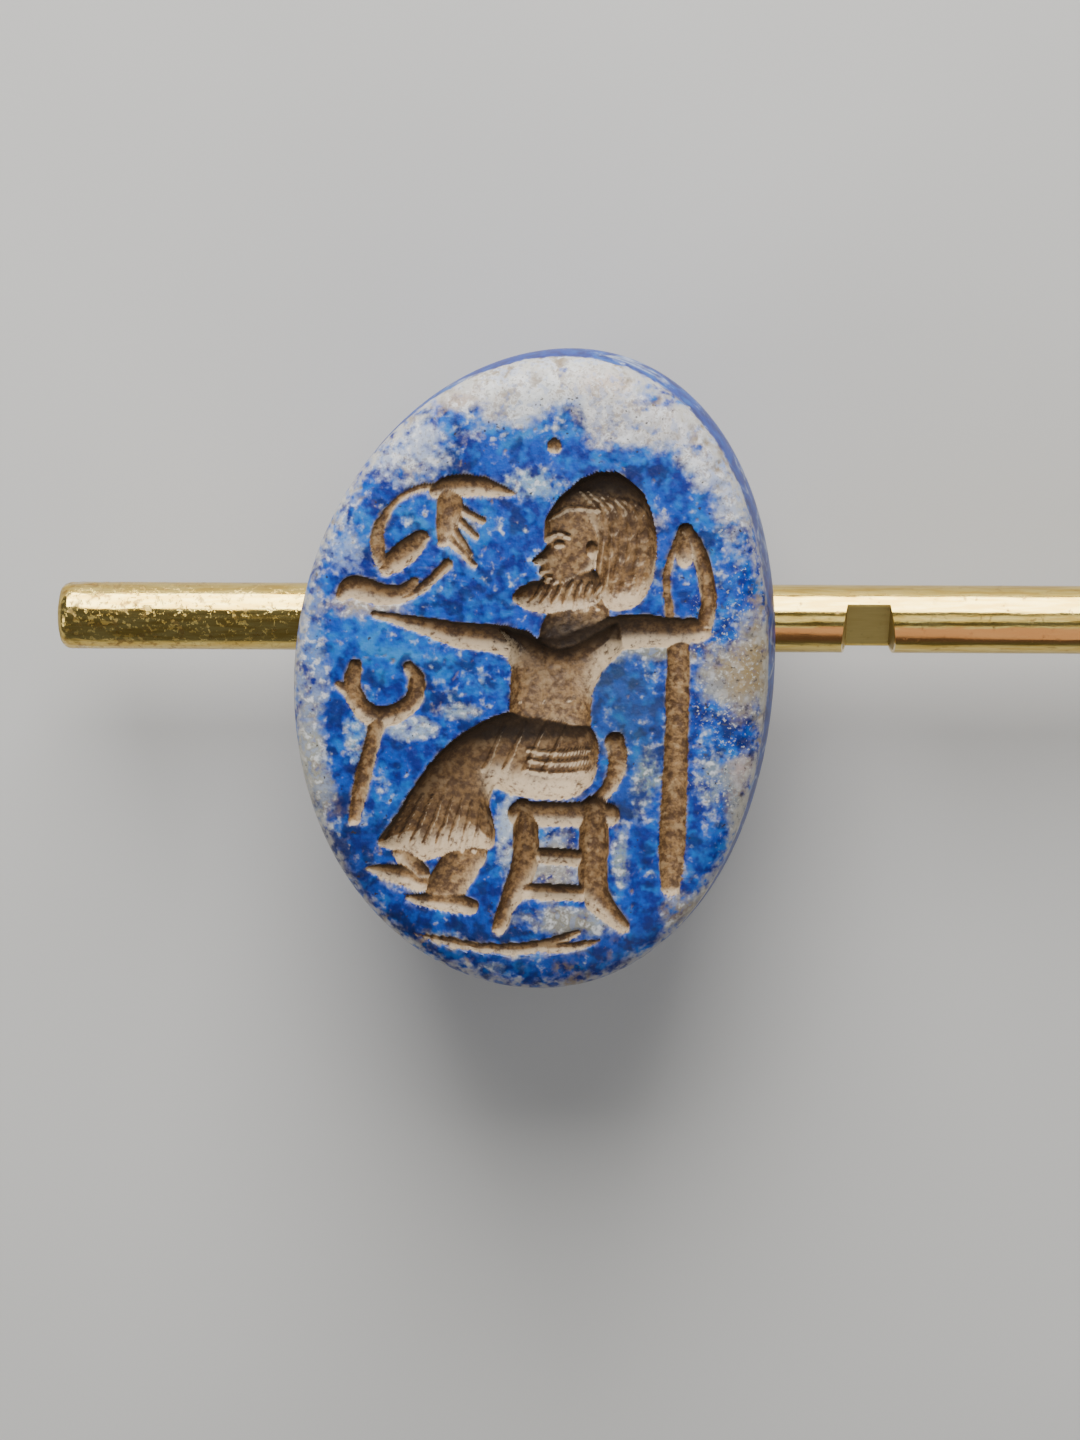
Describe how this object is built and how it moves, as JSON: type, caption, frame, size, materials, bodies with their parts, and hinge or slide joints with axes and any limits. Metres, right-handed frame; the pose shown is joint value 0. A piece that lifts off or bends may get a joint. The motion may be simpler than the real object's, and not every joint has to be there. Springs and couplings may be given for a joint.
{
  "type": "intaglio seal",
  "caption": "Oval domed stamp seal of blue stone with an enthroned, bearded figure cut into its face, pierced from side to side by a round metal rod.",
  "frame": {"origin": "middle of the small resting flat on the crown of the domed back", "axes": "+X along the rod to the right of the picture on the face, +Y to the top of the picture, +Z the way the carved face looks"},
  "size_m": [0.0409, 0.023, 0.0124],
  "materials": {
    "seal": "mottled blue stone, worn satin, with matte brown stain in the carving",
    "rod": "polished"
  },
  "bodies": {
    "root": {"seal": "seal", "rod": "rod"}
  },
  "joints": []
}
